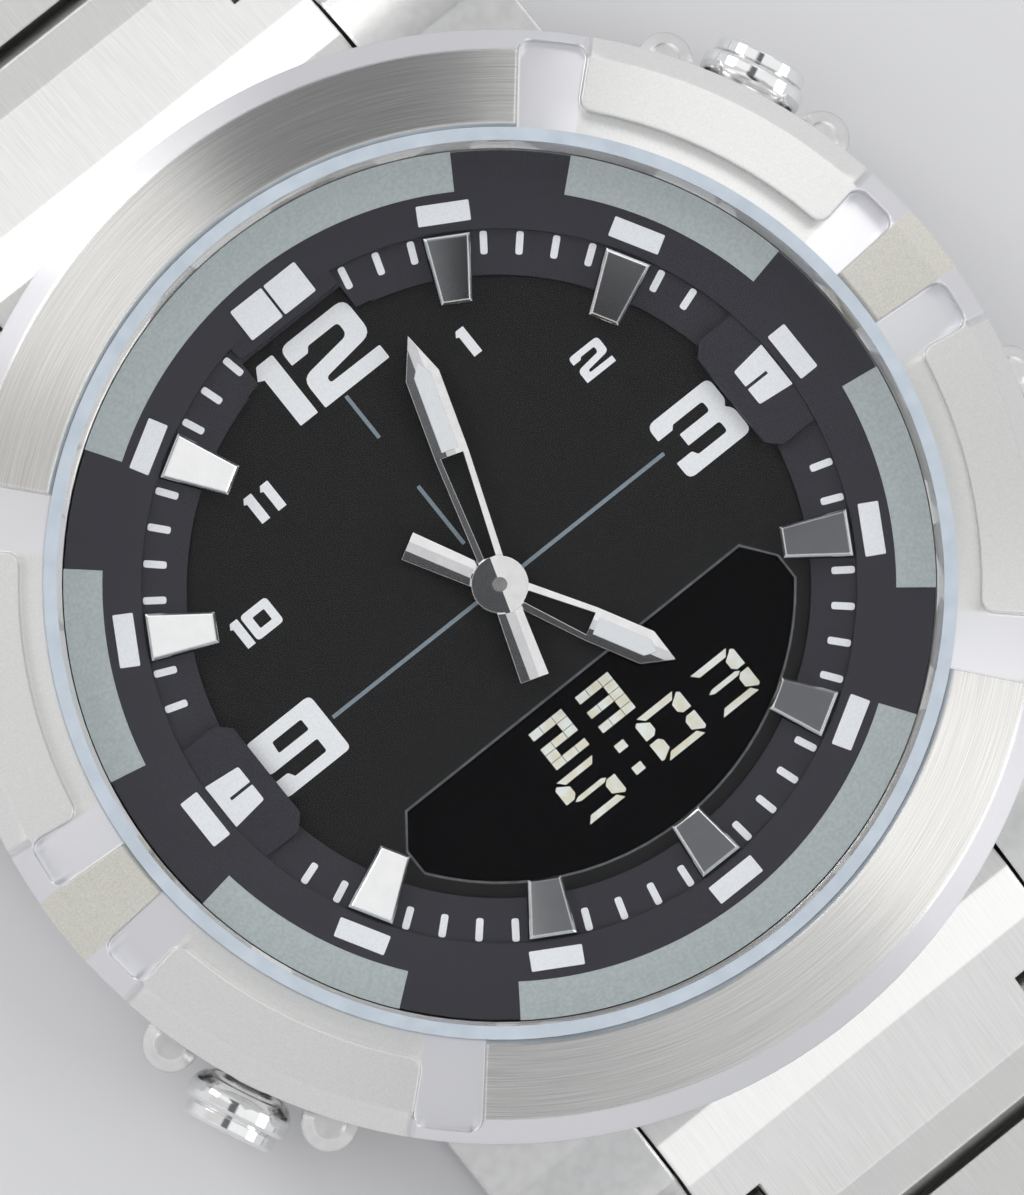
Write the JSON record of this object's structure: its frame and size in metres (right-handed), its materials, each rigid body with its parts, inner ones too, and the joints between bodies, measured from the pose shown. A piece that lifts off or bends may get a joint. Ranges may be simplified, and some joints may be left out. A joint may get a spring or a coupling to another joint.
{
  "type": "analogue digital wristwatch",
  "caption": "Round steel analogue-digital wristwatch with a stepped bezel, push buttons, display window, link bracelet and folding clasp, laid open and flat.",
  "frame": {"origin": "centre of the case back's flat face, on the axis of the hands", "axes": "+X to 3 o'clock, +Y to 12 o'clock, +Z out of the dial; the bracelet lies flat along Y"},
  "size_m": [0.048, 0.2039, 0.0124],
  "materials": {
    "brushed_case_steel": "satin",
    "turned_steel": "turned",
    "bezel_steel": "brushed and polished",
    "mineral_glass": "polished",
    "pale_nylon": "satin",
    "black_rubber": "matte",
    "charcoal_plastic": "satin",
    "dial_lacquer": "satin",
    "polished_steel": "mirror",
    "white_lume": "matte",
    "display_glass": "gloss",
    "conductive_rubber": "matte",
    "lamp_resin": "gloss",
    "black_moulding": "satin",
    "spring_steel": "bright",
    "circuit_laminate": "satin",
    "battery_steel": "bright",
    "brass": "bright",
    "copper_wire": "lacquered",
    "rotor_magnet": "satin",
    "button_steel": "polished",
    "satin_link_steel": "satin with bevelled edges",
    "blade_steel": "bright"
  },
  "bodies": {
    "case": {"case_middle": "brushed_case_steel", "case_back": "turned_steel", "case_back_gasket": "black_rubber", "case_back_screws": "turned_steel", "bezel": "bezel_steel", "crystal": "mineral_glass", "crystal_gasket": "pale_nylon", "chapter_ring": "charcoal_plastic", "dial": "dial_lacquer", "hour_markers": "polished_steel", "button_gaskets": "black_rubber", "end_links": "satin_link_steel", "spring_bars": "spring_steel", "lcd_panel": "display_glass", "lcd_connectors": "conductive_rubber", "dial_lamp": "lamp_resin", "module_frame": "black_moulding", "module_base": "black_moulding", "gear_bridge": "spring_steel", "circuit_board": "circuit_laminate", "battery": "battery_steel", "battery_clip": "spring_steel", "buzzer": "brass", "motor_stator": "spring_steel", "motor_coil": "copper_wire", "button_spring_2": "spring_steel", "button_spring_4": "spring_steel", "button_spring_8": "spring_steel", "button_spring_10": "spring_steel"},
    "minute_arbor": {"centre_arbor": "brass", "minute_hand": "polished_steel", "minute_hand_lume": "white_lume"},
    "hour_pipe": {"hour_wheel": "brass", "hour_hand": "polished_steel", "hour_hand_lume": "white_lume"},
    "minute_wheel": {"minute_wheel": "brass"},
    "intermediate_wheel": {"intermediate_wheel": "brass"},
    "rotor": {"motor_rotor": "rotor_magnet"},
    "button_2": {"button_2": "button_steel"},
    "button_4": {"button_4": "button_steel"},
    "button_10": {"button_10": "button_steel"},
    "button_8": {"button_8": "button_steel"},
    "link_12_1": {"link_12_1": "satin_link_steel"},
    "link_12_2": {"link_12_2": "satin_link_steel"},
    "link_12_3": {"link_12_3": "satin_link_steel"},
    "link_12_4": {"link_12_4": "satin_link_steel"},
    "link_12_5": {"link_12_5": "satin_link_steel"},
    "link_6_1": {"link_6_1": "satin_link_steel"},
    "link_6_2": {"link_6_2": "satin_link_steel"},
    "link_6_3": {"link_6_3": "satin_link_steel"},
    "link_6_4": {"link_6_4": "satin_link_steel"},
    "link_6_5": {"link_6_5": "satin_link_steel"},
    "link_6_6": {"link_6_6": "satin_link_steel"},
    "clasp_cover": {"clasp_cover": "satin_link_steel", "clasp_spring_3_side": "spring_steel", "clasp_spring_9_side": "spring_steel"},
    "clasp_middle_blade": {"clasp_middle_blade": "blade_steel"},
    "clasp_inner_blade": {"clasp_inner_blade": "blade_steel"},
    "clasp_button_3_side": {"clasp_button_3_side": "button_steel"},
    "clasp_button_9_side": {"clasp_button_9_side": "button_steel"}
  },
  "joints": [
    {"name": "minute_hand_turn", "type": "hinge", "parent": "case", "child": "minute_arbor", "pos_m": [0, 0, 0.007], "axis": [0, 0, 1], "continuous": true},
    {"name": "hour_hand_turn", "type": "hinge", "parent": "case", "child": "hour_pipe", "pos_m": [0, 0, 0.007], "axis": [0, 0, 1], "continuous": true},
    {"name": "minute_wheel_turn", "type": "hinge", "parent": "case", "child": "minute_wheel", "pos_m": [0.00208, 0.0012, 0.007], "axis": [0, 0, 1], "continuous": true},
    {"name": "intermediate_wheel_turn", "type": "hinge", "parent": "case", "child": "intermediate_wheel", "pos_m": [-0.00148, 0.00257, 0.007], "axis": [0, 0, 1], "continuous": true},
    {"name": "rotor_turn", "type": "hinge", "parent": "case", "child": "rotor", "pos_m": [-0.00343, 0.0037, 0.007], "axis": [0, 0, 1], "continuous": true},
    {"name": "button_2_press", "type": "slide", "parent": "case", "child": "button_2", "axis": [-0.9078, -0.4195, 0], "range_m": [0, 0.0006], "stiffness_N_per_m": 800, "deforming": ["button_spring_2"]},
    {"name": "button_4_press", "type": "slide", "parent": "case", "child": "button_4", "axis": [-0.9078, 0.4195, 0], "range_m": [0, 0.0006], "stiffness_N_per_m": 800, "deforming": ["button_spring_4"]},
    {"name": "button_10_press", "type": "slide", "parent": "case", "child": "button_10", "axis": [0.9078, -0.4195, 0], "range_m": [0, 0.0006], "stiffness_N_per_m": 800, "deforming": ["button_spring_10"]},
    {"name": "button_8_press", "type": "slide", "parent": "case", "child": "button_8", "axis": [0.9078, 0.4195, 0], "range_m": [0, 0.0006], "stiffness_N_per_m": 800, "deforming": ["button_spring_8"]},
    {"name": "link_12_1_hinge", "type": "hinge", "parent": "case", "child": "link_12_1", "pos_m": [0, 0.02905, 0.0016], "axis": [-1, 0, 0], "range_deg": [-5, 30]},
    {"name": "link_12_2_hinge", "type": "hinge", "parent": "link_12_1", "child": "link_12_2", "pos_m": [0, 0.03845, 0.0016], "axis": [-1, 0, 0], "range_deg": [-5, 30]},
    {"name": "link_12_3_hinge", "type": "hinge", "parent": "link_12_2", "child": "link_12_3", "pos_m": [0, 0.04785, 0.0016], "axis": [-1, 0, 0], "range_deg": [-5, 30]},
    {"name": "link_12_4_hinge", "type": "hinge", "parent": "link_12_3", "child": "link_12_4", "pos_m": [0, 0.05725, 0.0016], "axis": [-1, 0, 0], "range_deg": [-5, 30]},
    {"name": "link_12_5_hinge", "type": "hinge", "parent": "link_12_4", "child": "link_12_5", "pos_m": [0, 0.06665, 0.0016], "axis": [-1, 0, 0], "range_deg": [-5, 30]},
    {"name": "link_6_1_hinge", "type": "hinge", "parent": "case", "child": "link_6_1", "pos_m": [0, -0.02905, 0.0016], "axis": [1, 0, 0], "range_deg": [-5, 30]},
    {"name": "link_6_2_hinge", "type": "hinge", "parent": "link_6_1", "child": "link_6_2", "pos_m": [0, -0.03845, 0.0016], "axis": [1, 0, 0], "range_deg": [-5, 30]},
    {"name": "link_6_3_hinge", "type": "hinge", "parent": "link_6_2", "child": "link_6_3", "pos_m": [0, -0.04785, 0.0016], "axis": [1, 0, 0], "range_deg": [-5, 30]},
    {"name": "link_6_4_hinge", "type": "hinge", "parent": "link_6_3", "child": "link_6_4", "pos_m": [0, -0.05725, 0.0016], "axis": [1, 0, 0], "range_deg": [-5, 30]},
    {"name": "link_6_5_hinge", "type": "hinge", "parent": "link_6_4", "child": "link_6_5", "pos_m": [0, -0.06665, 0.0016], "axis": [1, 0, 0], "range_deg": [-5, 30]},
    {"name": "link_6_6_hinge", "type": "hinge", "parent": "link_6_5", "child": "link_6_6", "pos_m": [0, -0.07605, 0.0016], "axis": [1, 0, 0], "range_deg": [-5, 30]},
    {"name": "clasp_cover_hinge", "type": "hinge", "parent": "link_12_5", "child": "clasp_cover", "pos_m": [0, 0.07605, 0.0016], "axis": [-1, 0, 0], "range_deg": [-5, 30]},
    {"name": "clasp_fold", "type": "hinge", "parent": "clasp_cover", "child": "clasp_middle_blade", "pos_m": [0, 0.11035, 0.0021], "axis": [-1, 0, 0], "range_deg": [-160, 0]},
    {"name": "clasp_inner_fold", "type": "hinge", "parent": "clasp_middle_blade", "child": "clasp_inner_blade", "pos_m": [0, 0.08205, 0.00135], "axis": [-1, 0, 0], "range_deg": [0, 160]},
    {"name": "clasp_button_3_side_press", "type": "slide", "parent": "clasp_cover", "child": "clasp_button_3_side", "axis": [-1, 0, 0], "range_m": [0, 0.0005], "stiffness_N_per_m": 600, "deforming": ["clasp_spring_3_side"]},
    {"name": "clasp_button_9_side_press", "type": "slide", "parent": "clasp_cover", "child": "clasp_button_9_side", "axis": [1, 0, 0], "range_m": [0, 0.0005], "stiffness_N_per_m": 600, "deforming": ["clasp_spring_9_side"]}
  ],
  "couplings": [
    {"joint": "hour_hand_turn", "follows": "minute_hand_turn", "ratio": 0.083333},
    {"joint": "minute_wheel_turn", "follows": "minute_hand_turn", "ratio": -0.33333},
    {"joint": "intermediate_wheel_turn", "follows": "minute_hand_turn", "ratio": -10},
    {"joint": "rotor_turn", "follows": "minute_hand_turn", "ratio": 90},
    {"joint": "clasp_inner_fold", "follows": "clasp_fold", "ratio": -1}
  ]
}
